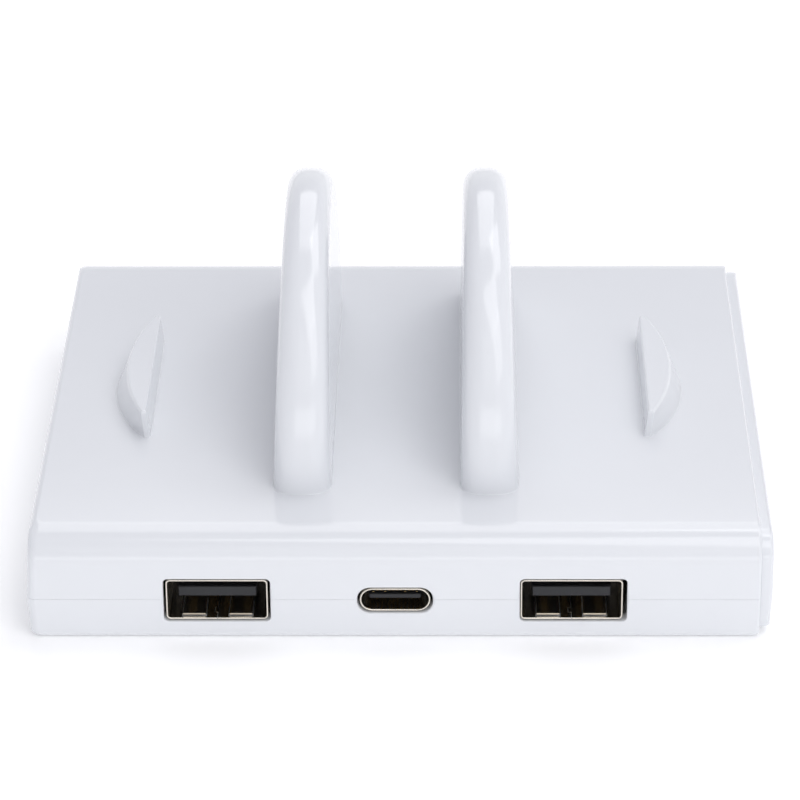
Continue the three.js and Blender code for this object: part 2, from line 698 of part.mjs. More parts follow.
function transformerBobbin() {
  const { x, y, middleZ, bobbinReach: reach, flange } = transformer;
  const bore = [4.15, 1.9];
  const barrel = tubeAlongY([x, middleZ], [4.9, 2.5], bore, y - reach, y + reach);
  const endPlate = (y0, y1) => tubeAlongY([x, middleZ], [6.9, 3.8], bore, y0, y1);
  return joined(barrel, endPlate(y - reach, y - reach + flange), endPlate(y + reach - flange, y + reach));
}

function transformerWinding() {
  const { x, y, middleZ, bobbinReach, flange } = transformer;
  const reach = bobbinReach - flange - fitGap;
  return tubeAlongY([x, middleZ], [6.8, 3.7], [5.2, 2.8], y - reach, y + reach);
}

// An electrolytic capacitor lying along X: a can with a crimped neck near its sealed end.
function lyingCapacitor(x0, length, y, radius) {
  const groove = radius * 0.9;
  const profile = pointsOf([
    [0, 0], [radius - 0.3, 0], [radius, 0.3], [radius, 1.4], [groove, 1.8], [groove, 2.1], [radius, 2.5],
    [radius, length - 0.4], [radius - 0.4, length], [0, length],
  ]);
  const geometry = new THREE.LatheGeometry(profile, roundSides);
  return geometry.rotateZ(-Math.PI / 2).translate(x0, y, seatHeight + radius - 0.1);
}

function standingCapacitor(x, y, radius, height) {
  const profile = pointsOf([
    [0, 0], [radius - 0.3, 0], [radius, 0.3], [radius, 1.1], [radius * 0.9, 1.4], [radius, 1.7],
    [radius, height - 0.4], [radius - 0.4, height], [0, height],
  ]);
  return new THREE.LatheGeometry(profile, roundSides).rotateX(Math.PI / 2).translate(x, y, seatHeight);
}

// A moulded chip with legs along its two long sides. Each pair of legs is one strip under the body.
const chipLeg = { halfWidth: 0.22, thickness: 0.2, reach: 1.1, sunk: 0.05 };

function chip([x, y], [length, width, height], legsPerSide) {
  const bodyBottom = seatHeight + chipLeg.thickness - chipLeg.sunk;
  const body = box(
    [x - length / 2, y - width / 2, bodyBottom],
    [x + length / 2, y + width / 2, seatHeight + height],
  );
  const pitch = length / legsPerSide;
  const reach = width / 2 + chipLeg.reach;
  const legs = Array.from({ length: legsPerSide }, (_, index) => {
    const legX = x - length / 2 + (index + 0.5) * pitch;
    return box(
      [legX - chipLeg.halfWidth, y - reach, seatHeight],
      [legX + chipLeg.halfWidth, y + reach, seatHeight + chipLeg.thickness],
    );
  });
  return joined(body, ...legs);
}

const choke = { x: 11, y: 27, halfX: 6.5, halfY: 5.2, leg: 2.2, halfZ: 1.4, middleZ: 8.2 };
function chokeCore() {
  const { x, y, halfX, halfY, leg, halfZ, middleZ } = choke;
  return cut(
    box([x - halfX, y - halfY, middleZ - halfZ], [x + halfX, y + halfY, middleZ + halfZ]),
    box([x - halfX + leg, y - halfY + leg, 0], [x + halfX - leg, y + halfY - leg, 20]),
  );
}
function chokeWinding(side) {
  const { x, y, halfX, leg, middleZ } = choke;
  const middle = x + side * (halfX - leg / 2);
  return tubeAlongY([middle, middleZ], [leg / 2 + 1.3, 2.7], [leg / 2 + fitGap, 1.7], y - 2.4, y + 2.4);
}

// A fuse along X: a thin barrel with a wider cap on each end.
function mainsFuse(x0, y) {
  const length = 10;
  const fuseCap = { radius: 1.9, length: 2.2, round: 0.2 };
  const barrelRadius = 1.6;
  const half = [
    [0, 0],
    [fuseCap.radius - fuseCap.round, 0],
    [fuseCap.radius, fuseCap.round],
    [fuseCap.radius, fuseCap.length],
    [barrelRadius, fuseCap.length + fuseCap.round],
  ];
  const otherHalf = half.map(([radius, along]) => [radius, length - along]).reverse();
  const geometry = new THREE.LatheGeometry(pointsOf([...half, ...otherHalf]), roundSides);
  return geometry.rotateZ(-Math.PI / 2).translate(x0, y, seatHeight + fuseCap.radius + 0.2);
}

function roundedBlock([x, y], [halfX, halfY, height], radius) {
  const geometry = extrudedUp(roundedRectangle(halfX, halfY, radius), seatHeight, seatHeight + height, 4);
  return geometry.translate(x, y, 0);
}

// A folded sheet over the output rectifier: a roof, one foot on the board and one upright fin.
function heatSpreader([x0, x1], [y0, y1]) {
  const sheet = 1;
  const roofBottom = seatHeight + 2.6;
  const finTop = seatHeight + 6.8;
  return joined(
    box([x0, y0, roofBottom], [x1, y1, roofBottom + sheet]),
    box([x0, y0, seatHeight], [x0 + sheet, y1, roofBottom + sheet]),
    box([x0, y0, roofBottom], [x1, y0 + sheet, finTop]),
  );
}

function housingScrew([x, y]) {
  const { headRadius, headBottom, headTop, shankRadius, tip } = screw;
  const { crossHalf, crossHalfWidth, crossDepth } = screw;
  const profile = pointsOf([
    [0, headBottom], [headRadius - 0.4, headBottom], [headRadius, headBottom + 0.4], [headRadius, headTop],
    [shankRadius, headTop], [shankRadius, tip - 1.2], [0.2, tip], [0, tip],
  ]);
  const turned = solidOf(new THREE.LatheGeometry(profile, roundSides).rotateX(Math.PI / 2));
  const slotTop = headBottom + crossDepth;
  const slot = (halfX, halfY) => box([-halfX, -halfY, headBottom - 1], [halfX, halfY, slotTop]);
  const cross = joined(slot(crossHalf, crossHalfWidth), slot(crossHalfWidth, crossHalf));
  return cut(turned, cross).translate([x, y, 0]);
}

// ---------------------------------------------------------------- the assembly

const charger = new THREE.Group();

function add(name, shape, look) {
  const geometry = shape instanceof THREE.BufferGeometry ? shape : geometryOf(shape);
  const mesh = new THREE.Mesh(geometry, look);
  mesh.name = name;
  charger.add(mesh);
}

add('top_housing', topHousing(), finish.whiteGloss());
add('bottom_housing', bottomHousing(), finish.whiteGloss());
add('plug_end_cap', plugEndCap(), finish.whiteGloss());

add('plug_carrier', plugCarrier(), finish.whiteGloss());
add('plug_blade_front', plugBlade(-1), finish.brass());
add('plug_blade_rear', plugBlade(1), finish.brass());
add('plug_contact_front', plugContact(-1), finish.spring());
add('plug_contact_rear', plugContact(1), finish.spring());
add('plug_detent_spring', detentSpring(), finish.steel());

for (const [side, x] of [['left', -portSpacing], ['right', portSpacing]]) {
  add(`usb_a_${side}_shell`, usbAShell(x), finish.nickel());
  add(`usb_a_${side}_insulator`, usbAInsulator(x), finish.blackPlastic());
  contactOffsets.forEach((offset, index) => {
    add(`usb_a_${side}_contact_${index + 1}`, usbAContact(x + offset), finish.gold());
  });
}
add('usb_c_shell', usbCShell(), finish.nickel());
add('usb_c_insulator', usbCInsulator(), finish.blackPlastic());

add('circuit_board', sheetAroundParts(board.bottom, boardTop, 0), finish.boardGreen());
add('insulating_sheet', sheetAroundParts(film.bottom, film.top, film.clearance), finish.film());
add('transformer_core_front', coreHalf(-1), finish.ferrite());
add('transformer_core_rear', coreHalf(1), finish.ferrite());
add('transformer_bobbin', transformerBobbin(), finish.blackPlastic());
add('transformer_winding', transformerWinding(), finish.tape());
add('input_capacitor_front', lyingCapacitor(-41, 20, 10, 4), finish.capSleeve());
add('input_capacitor_rear', lyingCapacitor(-41, 20, 20, 4), finish.capSleeve());
for (const [side, x] of [['left', -8], ['right', 0]]) {
  add(`output_capacitor_${side}`, standingCapacitor(x, -15.5, 3.15, 7.4), finish.aluminium());
}
add('suppression_capacitor', roundedBlock([24, 34], [6.4, 2.7, 7.2], 0.4), finish.boxYellow());
add('safety_capacitor', roundedBlock([9, 4], [3.6, 1.9, 6.4], 1.8), finish.discBlue());
add('choke_core', chokeCore(), finish.ferrite());
add('choke_winding_left', chokeWinding(-1), finish.copper());
add('choke_winding_right', chokeWinding(1), finish.copper());
add('mains_fuse', mainsFuse(24.5, 22.5), finish.film());
add('bridge_rectifier', chip([-2, 31], [5.0, 4.2, 2.4], 2), finish.blackPlastic());
add('power_switch_chip', chip([-15, 27], [5.0, 4.0, 1.7], 4), finish.blackPlastic());
add('optocoupler', chip([10, -4.5], [4.6, 5.6, 2.3], 2), finish.blackPlastic());
add('output_rectifier_chip', chip([-26, -15.5], [5.0, 4.0, 1.7], 4), finish.blackPlastic());
add('port_control_chip', chip([0, -25], [5.0, 4.0, 1.6], 4), finish.blackPlastic());
add('output_inductor', roundedBlock([11, -17], [3.6, 3.6, 4.4], 1.0), finish.ferrite());
add('heat_spreader', heatSpreader([-36, -17], [-22, -9]), finish.aluminium());

// Each wire runs from a plug contact to the board. The neutral one passes over the blade well.
const wireRadius = 0.6;
const livePath = [[35.5, 11, 7.5], [33.5, 12.5, 8.0], [31.5, 15.5, 7.0], [31, 17.5, 5.2]];
const neutralPath = [
  [35.5, -11, 7.5], [34, -9.5, 10.2], [31, -2, 10.6], [28, 8, 10.4], [26.5, 14, 8.5], [26, 17.5, 5.2],
];
add('live_wire', wire(livePath, wireRadius), finish.wireBlack());
add('neutral_wire', wire(neutralPath, wireRadius), finish.wireWhite());
bosses.forEach((place, index) => add(`housing_screw_${index + 1}`, housingScrew(place), finish.steel()));

export default charger;
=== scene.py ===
"""A white USB charger: a low slab with a cradle of two half-discs, three ports and a folding plug.

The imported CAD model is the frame. The housing, the plug and the receptacles are rebuilt here
as finer meshes in the same places, and the parts inside keep their CAD meshes.
Shapes are worked out in millimetres and turned into metres when a mesh is made.
"""

import json
import math

import bmesh
import bpy
from mathutils import Matrix, Vector


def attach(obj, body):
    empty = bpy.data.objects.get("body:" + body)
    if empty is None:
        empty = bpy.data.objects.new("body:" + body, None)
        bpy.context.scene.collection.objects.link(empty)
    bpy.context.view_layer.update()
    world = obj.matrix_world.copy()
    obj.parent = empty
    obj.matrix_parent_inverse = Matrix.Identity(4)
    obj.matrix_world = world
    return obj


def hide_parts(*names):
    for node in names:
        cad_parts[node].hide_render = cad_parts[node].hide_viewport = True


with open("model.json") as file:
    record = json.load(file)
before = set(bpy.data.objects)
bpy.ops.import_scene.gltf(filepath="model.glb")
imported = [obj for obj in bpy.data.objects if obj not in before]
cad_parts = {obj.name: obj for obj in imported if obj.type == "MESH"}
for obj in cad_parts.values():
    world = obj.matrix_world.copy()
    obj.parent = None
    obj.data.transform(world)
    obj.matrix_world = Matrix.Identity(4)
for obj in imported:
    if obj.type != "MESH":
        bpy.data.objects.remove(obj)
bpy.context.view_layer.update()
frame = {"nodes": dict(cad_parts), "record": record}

MM = 0.001

# ---------------------------------------------------------------- sizes, in millimetres

SLAB = {"width": 93.2, "depth": 82.6, "height": 14.4}
PARTING = 5.8
SEAM_GAP = 0.02
SEAM_EDGE = 0.04
WALL = 1.8
DRAFT = math.tan(math.radians(2.9))
SHELL_END = 46.1
END_EDGE = 0.45
FRONT_ROUND = (4.5, 3.9)
BACK_ROUND = (5.0, 3.0)
SIDE_ROUND = (0.9, 0.9)
FOOT_ROUND = 1.0
CORNER_ROUND = 1.2

FIN = {"radius": 29.6, "inner": 8.3, "outer": 15.75, "inner_lean": 0.4, "outer_lean": 1.2}
FIN_RIM = 2.9
FIN_CURVE = 2.5
FIN_CORE = {"wall": 2.2, "width": 2.6}
NUB = {"inner": 32.4, "half": 14.0, "bulge": 4.7, "blunt": 0.8, "height": 3.9, "lean": 0.4}
NUB_TOP_BULGE = 0.57
NUB_EDGE = {"across": 0.24, "down": 0.5}
FIN_FLARE = 0.16
NUB_FLARE = 0.12

PORT_SPACING = 22.5
PORT_HEIGHT = 5.6
PORT_FACE = -40.95
USB_A = {"half_x": 6.45, "half_z": 2.86, "length": 13.4, "corner": 0.6}
USB_C = {"half_x": 4.47, "half_z": 1.63, "length": 7.6, "corner": 1.62}
SHEET = 0.22
TAB = {"offset": 2.95, "half_width": 1.45, "window": 1.6, "run": 7.4, "rise": 0.42}
BASE_A = {"front": -31.0, "back": -27.9}
TONGUE_A = {"half_width": 5.0, "low": 5.3, "high": 6.8, "setback": 1.3}
TONGUE_C = {"half_width": 3.35, "half_height": 0.35, "setback": 0.9}
CONTACT_OFFSETS = (-3.5, -1.0, 1.0, 3.5)
PAD = {"pitch": 0.5, "half_width": 0.13, "low": 0.3, "high": 0.385, "back": -35.2}
LONG_PADS = (0, 3, 8, 11)
GAP = 0.3
PORT_CLEARANCE = {"side": 0.3, "height": 0.2}
RIGHT_PORT_SHIFT = -0.22

PIVOT = Vector((43.4, 0.0, 3.75))
WELL = {"start": 22.0, "half": 8.4, "top": 7.3, "wall": 1.5, "ceiling": 1.2}
BLADE = {"spacing": 12.7, "thickness": 1.5, "width": 6.35, "reach": 20.75, "start": 3.65}
AXLE = {"radius": 1.5, "end": 11.9}
DRUM = {"radius": 3.3, "half": 7.9, "flat": 3.05}
GRIP = {"lines": 5, "first": -2.4, "pitch": 1.2, "half_width": 0.25, "depth": 0.3}
BEARING = (8.2, 10.2)
SPRING_SLOT = {"start": 40.0, "half": 3.4}
RIM = {"start": 4.0, "top": 6.9, "inset": 1.2, "end": SHELL_END - 0.8}
BOSSES = [(-38.3, -32.6), (-38.3, 32.6), (36.4, -32.2), (36.4, 32.2)]
BOSS = {"upper_radius": 3.0, "lower_radius": 3.7, "lower_top": 5.2, "hole": 1.4, "hole_top": 11.3}
SCREW_RECESS = {"radius": 2.7, "top": 2.3, "flare": 0.25}
CAP = {"outer": 47.65, "inset": 1.0, "block_inset": 2.1, "start": 43.8, "wall": 1.2, "edge": 0.5}
CAP_BLOCK = {"end": 47.0, "hollow_end": 45.9}
CAP_NOTCH = {"wide_half": 12.8, "wide_top": 9.0, "narrow_half": 8.6}
CAP_TAB = {"start": 45.2, "inner": 8.75, "outer": 9.6, "half_height": 1.5}

# ---------------------------------------------------------------- outlines and solids


def setback(distance, across, down):
    """How far an elliptical edge round sets a wall back, at a distance from the face it meets."""
    if distance >= down:
        return 0.0
    rise = 1 - max(distance, 0.0) / down
    return across * (1 - math.sqrt(1 - rise * rise))


def rounded_polygon(corners, radii, steps):
    """A flat polygon's outline with its corners rounded. A radius of 0 keeps a corner sharp."""
    outline = []
    for index, (place, radius) in enumerate(zip(corners, radii)):
        corner = Vector(place)
        if radius <= 0:
            outline.append(tuple(corner))
            continue
        before = (Vector(corners[index - 1]) - corner).normalized()
        after = (Vector(corners[(index + 1) % len(corners)]) - corner).normalized()
        half_angle = before.angle(after) / 2
        centre = corner + (before + after).normalized() * radius / math.sin(half_angle)
        reach = radius / math.tan(half_angle)
        start = corner + before * reach - centre
        end = corner + after * reach - centre
        first = math.atan2(start.y, start.x)
        sweep = (math.atan2(end.y, end.x) - first + math.pi) % (2 * math.pi) - math.pi
        for step in range(steps + 1):
            angle = first + sweep * step / steps
            outline.append((centre.x + radius * math.cos(angle), centre.y + radius * math.sin(angle)))
    return outline


def rectangle(half_x, half_y, radius, steps=8):
    corners = [(half_x, -half_y), (half_x, half_y), (-half_x, half_y), (-half_x, -half_y)]
    return rounded_polygon(corners, [radius] * 4, steps)


def circle(radius, sides=48):
    turns = (2 * math.pi * side / sides for side in range(sides))
    return [(radius * math.cos(turn), radius * math.sin(turn)) for turn in turns]


def new_piece(name, vertices, faces):
    """An object with this mesh, given in millimetres, with its faces turned outwards."""
    mesh = bpy.data.meshes.new(name)
    mesh.from_pydata([[value * MM for value in vertex] for vertex in vertices], [], faces)
    work = bmesh.new()
    work.from_mesh(mesh)
    bmesh.ops.remove_doubles(work, verts=work.verts, dist=1e-7)
    bmesh.ops.recalc_face_normals(work, faces=work.faces)
    work.to_mesh(mesh)
    work.free()
    piece = bpy.data.objects.new(name, mesh)
    bpy.context.scene.collection.objects.link(piece)
    return piece


def loft(name, rings, closed=False):
    """A skin over rings of equal length: capped at both ends, or joined into a loop."""
    count = len(rings[0])
    vertices = [point for ring in rings for point in ring]
    faces = []
    for first in range(len(rings) if closed else len(rings) - 1):
        second = (first + 1) % len(rings)
        for step in range(count):
            after = (step + 1) % count
            faces.append((first * count + step, first * count + after,
                          second * count + after, second * count + step))
    if not closed:
        faces.append(tuple(range(count)))
        faces.append(tuple((len(rings) - 1) * count + step for step in range(count)))
    return new_piece(name, vertices, faces)


def along_z(outline, z, centre=(0, 0)):
    return [(x + centre[0], y + centre[1], z) for x, y in outline]


def along_y(outline, y, centre=(0, 0)):
    return [(x + centre[0], y, z + centre[1]) for x, z in outline]


def block(low, high):
    """A plain box, for cutting with or for joining on."""
    (x0, y0, z0), (x1, y1, z1) = low, high
    outline = [(x1, y0), (x1, y1), (x0, y1), (x0, y0)]
    return loft("block", [along_z(outline, z0), along_z(outline, z1)])


def post(place, z0, z1, radius):
    outline = circle(radius)
    return loft("post", [along_z(outline, z0, place), along_z(outline, z1, place)])


def bar(place, y0, y1, radius, edge=0.0):
    """A round bar along Y with its two end edges rounded off."""
    rings = [along_y(circle(radius - edge), y0, place), along_y(circle(radius), y0 + edge, place),
             along_y(circle(radius), y1 - edge, place), along_y(circle(radius - edge), y1, place)]
    return loft("bar", rings if edge else [rings[1], rings[2]])


def combined(name, base, *steps):
    """One mesh: base with solids joined on or cut away, step by step. The solids are used up."""
    used = []
    for operation, tools in steps:
        for tool in tools:
            modifier = base.modifiers.new(operation, "BOOLEAN")
            modifier.operation = operation
            modifier.solver = "EXACT"
            modifier.object = tool
            used.append(tool)
    graph = bpy.context.evaluated_depsgraph_get()
    mesh = bpy.data.meshes.new_from_object(base.evaluated_get(graph))
    for spent in [base, *used]:
        bpy.data.objects.remove(spent)
    mesh.name = name
    piece = bpy.data.objects.new(name, mesh)
    bpy.context.scene.collection.objects.link(piece)
    return piece


def smooth(piece, sharp_degrees=38, edge=0.0, segments=2):
    """Smooth shading that follows the larger faces, with edges softened by edge millimetres."""
    piece.data.shade_smooth()
    piece.data.set_sharp_from_angle(angle=math.radians(sharp_degrees))
    if edge:
        bevel = piece.modifiers.new("soft_edges", "BEVEL")
        bevel.width = edge * MM
        bevel.segments = segments
        bevel.limit_method = "ANGLE"
        bevel.angle_limit = math.radians(sharp_degrees)
        bevel.harden_normals = False
    weighted = piece.modifiers.new("even_shading", "WEIGHTED_NORMAL")
    weighted.keep_sharp = not edge
    weighted.weight = 60
    return piece


# ---------------------------------------------------------------- the slab


def shrunk(size, inset):
    return max(size - inset, 0.4)


def slab_outline(z, inset=0.0, left=None, right=None, end_edge=END_EDGE, seam=None):
    """The slab's plan at height z, moved inwards by inset. left or right sets a straight end there."""
    below = SLAB["height"] - inset - z
    above = z - inset
    foot = shrunk(FOOT_ROUND, inset)
    wall = inset + DRAFT * abs(z - PARTING) + setback(above, foot, foot)
    if seam is not None:
        wall += setback(abs(z - seam), SEAM_EDGE, SEAM_EDGE)

    def top(edge_round):
        return setback(below, shrunk(edge_round[0], inset), shrunk(edge_round[1], inset))

    half_width, half_depth = SLAB["width"] / 2, SLAB["depth"] / 2
    straight = setback(below, end_edge, end_edge) + setback(above, 2 * end_edge, 2 * end_edge)
    x0 = -(half_width - wall - top(SIDE_ROUND)) if left is None else left
    x1 = half_width - wall - top(SIDE_ROUND) if right is None else right - straight
    y0 = -(half_depth - wall - top(FRONT_ROUND))
    y1 = half_depth - wall - top(BACK_ROUND)
    corner = shrunk(CORNER_ROUND, inset / 2)
    right_corner = corner if right is None else min(end_edge, (x1 - x0) / 2 - 0.06)
    left_corner = corner if left is None else 0.05
    corners = [(x1, y0), (x1, y1), (x0, y1), (x0, y0)]
    return rounded_polygon(corners, [right_corner, right_corner, left_corner, left_corner], 10)


def slab_levels(z0, z1, inset=0.0, seam=None, end_edge=END_EDGE):
    """Heights close enough together to draw every edge round of the slab between z0 and z1."""
    levels = {z0, z1, PARTING}
    top, bottom = SLAB["height"] - inset, inset
    rounds = ((FRONT_ROUND[1], 26), (BACK_ROUND[1], 20), (SIDE_ROUND[1], 10), (end_edge, 6))
    for down, steps in rounds:
        for step in range(steps + 1):
            levels.add(top - shrunk(down, inset) * (1 - math.sin(math.pi / 2 * step / steps)))
    for step in range(13):
        levels.add(bottom + shrunk(FOOT_ROUND, inset) * (1 - math.sin(math.pi / 2 * step / 12)))
    if seam is not None:
        for step in range(7):
            turn = SEAM_EDGE * (1 - math.sin(math.pi / 2 * step / 6))
            levels.update((seam - turn, seam + turn))
    kept = []
    for z in sorted(level for level in levels if z0 <= level <= z1):
        if not kept or z - kept[-1] > 0.004:
            kept.append(z)
    return kept


def slab_solid(name, z0, z1, inset=0.0, left=None, right=None, end_edge=END_EDGE, seam=None):
    rings = []
    for z in slab_levels(z0, z1, inset, seam, end_edge):
        rings.append(along_z(slab_outline(z, inset, left, right, end_edge, seam), z))
    return loft(name, rings)


# ---------------------------------------------------------------- the cradle


def half_disc(radius, profile, x_at, sunk):
    """Half-disc outlines stacked along X. profile lists (share of the width, drop of the rim)."""
    rings = []
    for share, drop in profile:
        reach = radius - drop
        arc = [math.pi * step / 96 for step in range(97)]
        outline = [(reach * math.cos(turn), reach * math.sin(turn)) for turn in arc]
        outline = [(reach, -sunk), *outline, (-reach, -sunk)]
        rings.append([(x_at(share, z), y, z + SLAB["height"]) for y, z in outline])
    return loft("half_disc", rings)


def flared(piece, reach):
    """Spreads the foot of an upright piece into the slab's top with a small concave round."""
    top = SLAB["height"]
    levels = [top + reach * (1 - math.sin(math.pi / 2 * step / 6)) for step in range(6)] + [top + 0.01]
    work = bmesh.new()
    work.from_mesh(piece.data)
    for level in levels:
        geometry = work.verts[:] + work.edges[:] + work.faces[:]
        bmesh.ops.bisect_plane(work, geom=geometry, plane_co=(0, 0, level * MM), plane_no=(0, 0, 1))
    work.normal_update()
    moves = []
    for vertex in work.verts:
        height = vertex.co.z / MM - top
        outwards = Vector((vertex.normal.x, vertex.normal.y, 0))
        if height < reach and outwards.length > 0:
            spread = setback(max(height, 0.01), reach, reach)
            moves.append((vertex, outwards.normalized() * spread * MM))
    for vertex, move in moves:
        vertex.co += move
    work.to_mesh(piece.data)
    work.free()
    return piece


def fin_solid(side):
    """A half-disc divider, thinner towards its top, with a rim that curves over from flank to flank."""
    profile = []
    for step in range(41):
        across = -math.cos(math.pi * step / 40)
        drop = FIN_RIM * (1 - (1 - abs(across) ** FIN_CURVE) ** (1 / FIN_CURVE))
        profile.append(((1 + across) / 2, drop))

    def x_at(share, z):
        rise = z / FIN["radius"]
        inner = FIN["inner"] + FIN["inner_lean"] * rise
        outer = FIN["outer"] - FIN["outer_lean"] * rise
        return side * (inner + (outer - inner) * share)

    return flared(half_disc(FIN["radius"], profile, x_at, 1.4), FIN_FLARE)


def fin_core(side):
    middle = side * ((FIN["inner"] + FIN["outer"]) / 2 - 0.2)

    def x_at(share, z):
        return middle + FIN_CORE["width"] * (share - 0.5)

    return half_disc(FIN["radius"] - FIN_CORE["wall"], [(0, 0), (1, 0)], x_at, 3.0)


def nub_outline(side, share, inset):
    """The nub's plan at a share of its height: a straight inner side and a curved outer one."""
    inner = NUB["inner"] + NUB["lean"] * share + inset
    half = NUB["half"] - inset
    bulge = NUB["bulge"] * (1 - (1 - NUB_TOP_BULGE) * share)
    start = inner + NUB["blunt"] - 2 * inset
    radius = (half * half + bulge * bulge) / (2 * bulge)
    sweep = math.asin(half / radius)
    turns = [sweep * (2 * step / 32 - 1) for step in range(33)]
    arc = [(start + bulge - radius + radius * math.cos(t), radius * math.sin(t)) for t in turns]
    corners = [(inner, -half), *arc, (inner, half)]
    radii = [0.15, 0.1, *[0.0] * 31, 0.1, 0.15]
    return [(side * x, y) for x, y in rounded_polygon(corners, radii, 4)]


def nub_solid(side):
    """A low half-moon stop with its flat side towards the half-discs and a softened top edge."""
    height, edge = NUB["height"], NUB_EDGE["down"]
    heights = [-1.0, 0.0] + [height * step / 10 for step in range(1, 9)]
    heights += [height - edge * (1 - math.sin(math.pi / 2 * step / 8)) for step in range(9)]
    rings = []
    for z in heights:
        inset = setback(height - z, NUB_EDGE["across"], edge)
        rings.append(along_z(nub_outline(side, z / height, inset), z + SLAB["height"]))
    return flared(loft("nub", rings), NUB_FLARE)


# ---------------------------------------------------------------- the housing


def port_cutters():
    """Openings for the three receptacles, with a small round where they meet the front face."""
    cutters = []
    for x in (-PORT_SPACING, 0.0, PORT_SPACING):
        size = USB_C if x == 0 else USB_A
        rings = []
        face = -SLAB["depth"] / 2 + 0.1
        stations = ((-44.0, 0.22), (face - 0.02, 0.22), (face + 0.03, 0.1), (face + 0.1, 0.03),
                    (face + 0.22, 0.0), (-36.0, 0.0))
        for y, flare in stations:
            half_x = size["half_x"] + PORT_CLEARANCE["side"] + flare
            half_z = size["half_z"] + PORT_CLEARANCE["height"] + flare
            outline = rectangle(half_x, half_z, min(size["corner"] + flare, half_z - 0.01))
            rings.append(along_y(outline, y, (x, PORT_HEIGHT)))
        cutters.append(loft("port", rings))
    return cutters


def mouth(outline_at, depth, flare=0.35):
    """A cutter through the underside that rounds its edge. outline_at gives the plan for a growth."""
    rings = [along_z(outline_at(flare), -1.0)]
    for step in range(7):
        turn = math.pi / 2 * step / 6
        rings.append(along_z(outline_at(flare * (1 - math.sin(turn))), flare * (1 - math.cos(turn))))
    rings.append(along_z(outline_at(0.0), depth))
    return loft("mouth", rings)


def make_top_housing():
    seam = PARTING + SEAM_GAP / 2
    height = SLAB["height"]
    roof = slab_solid("roof", seam, height, right=SHELL_END, seam=seam)
    cradle = [fin_solid(-1), fin_solid(1), nub_solid(-1), nub_solid(1)]
    hollow = slab_solid("hollow", WALL, height - WALL, WALL, right=60.0)
    posts = [post(place, PARTING - 0.25, height - 1, BOSS["upper_radius"]) for place in BOSSES]
    pilots = [post(place, PARTING - 1, BOSS["hole_top"], BOSS["hole"]) for place in BOSSES]
    piece = combined("top_housing_visual", roof, ("UNION", cradle),
                     ("DIFFERENCE", [hollow, fin_core(-1), fin_core(1)]),
                     ("UNION", posts), ("DIFFERENCE", pilots + port_cutters()))
    return smooth(piece)


def well_plan(growth):
    x0, x1 = WELL["start"] - growth, SHELL_END + 3
    half = WELL["half"] + growth
    return rounded_polygon([(x1, -half), (x1, half), (x0, half), (x0, -half)], [0.1, 0.1, 0.6, 0.6], 6)


def screw_recess(place):
    """The rounded mouth under a boss that a screw head sits in."""
    def plan(growth):
        return [(x + place[0], y + place[1]) for x, y in circle(SCREW_RECESS["radius"] + growth)]

    return mouth(plan, SCREW_RECESS["top"], SCREW_RECESS["flare"])


def axle_slots():
    """The open-ended slots in the well's two side walls that the plug's trunnions turn in."""
    room = AXLE["radius"] + GAP
    slots = []
    for side in (-1, 1):
        low, high = sorted(side * y for y in BEARING)
        slots.append(block((PIVOT.x, low, PIVOT.z - room), (SHELL_END + 1, high, PIVOT.z + room)))
        slots.append(bar((PIVOT.x, PIVOT.z), low, high, room))
    return slots


def make_bottom_housing():
    seam = PARTING - SEAM_GAP / 2
    tray = slab_solid("tray", 0.0, seam, right=SHELL_END, seam=seam)
    rim = slab_solid("rim", RIM["start"], RIM["top"], RIM["inset"], right=RIM["end"])
    hollow = slab_solid("hollow", WALL, SLAB["height"] - WALL, WALL, right=60.0)
    posts = [post(place, 1.0, BOSS["lower_top"], BOSS["lower_radius"]) for place in BOSSES]
    outer = WELL["half"] + WELL["wall"]
    walls = block((WELL["start"] - WELL["wall"], -outer, 0.5),
                  (SHELL_END, outer, WELL["top"] + WELL["ceiling"]))
    spring_room = block((SPRING_SLOT["start"], -SPRING_SLOT["half"], WELL["top"] - 1),
                        (SHELL_END + 1, SPRING_SLOT["half"], WELL["top"] + 2))
    cuts = [mouth(well_plan, WELL["top"]), spring_room, *axle_slots()]
    cuts += [screw_recess(place) for place in BOSSES]
    cuts += [post(place, 0.0, BOSS["lower_top"] + 1, BOSS["hole"]) for place in BOSSES]
    piece = combined("bottom_housing_visual", tray, ("UNION", [rim]), ("DIFFERENCE", [hollow]),
                     ("UNION", [*posts, walls]), ("DIFFERENCE", cuts), ("DIFFERENCE", port_cutters()))
    return smooth(piece)


def make_end_cap():
    """The lid let into the open end of the shells, notched where the plug folds through it."""
    height, start, edge = SLAB["height"], CAP["start"], CAP["edge"]
    plate_start = SHELL_END + 0.04
    inset = CAP["inset"]
    plate = slab_solid("plate", inset, height - inset, inset, left=plate_start, right=CAP["outer"],
                       end_edge=edge)
    inset = CAP["block_inset"]
    core = slab_solid("core", inset, height - inset, inset, left=start, right=CAP_BLOCK["end"])
    inset += CAP["wall"]
    hollow = slab_solid("hollow", inset, height - inset, inset, left=start - 1,
                        right=CAP_BLOCK["hollow_end"])
    wide, narrow = CAP_NOTCH["wide_half"], CAP_NOTCH["narrow_half"]
    notches = [block((start - 2, -wide, -1), (plate_start, wide, CAP_NOTCH["wide_top"])),
               block((start - 2, -narrow, -1), (CAP["outer"] + 1, narrow, WELL["top"] + 0.2))]
    tabs = []
    for side in (-1, 1):
        low, high = sorted((side * CAP_TAB["inner"], side * CAP_TAB["outer"]))
        tabs.append(block((CAP_TAB["start"], low, PIVOT.z - CAP_TAB["half_height"]),
                          (SHELL_END + 0.5, high, PIVOT.z + CAP_TAB["half_height"])))
    piece = combined("plug_end_cap_visual", plate, ("UNION", [core]), ("DIFFERENCE", [hollow, *notches]),
                     ("UNION", tabs))
    return smooth(piece)


# ---------------------------------------------------------------- the folding plug


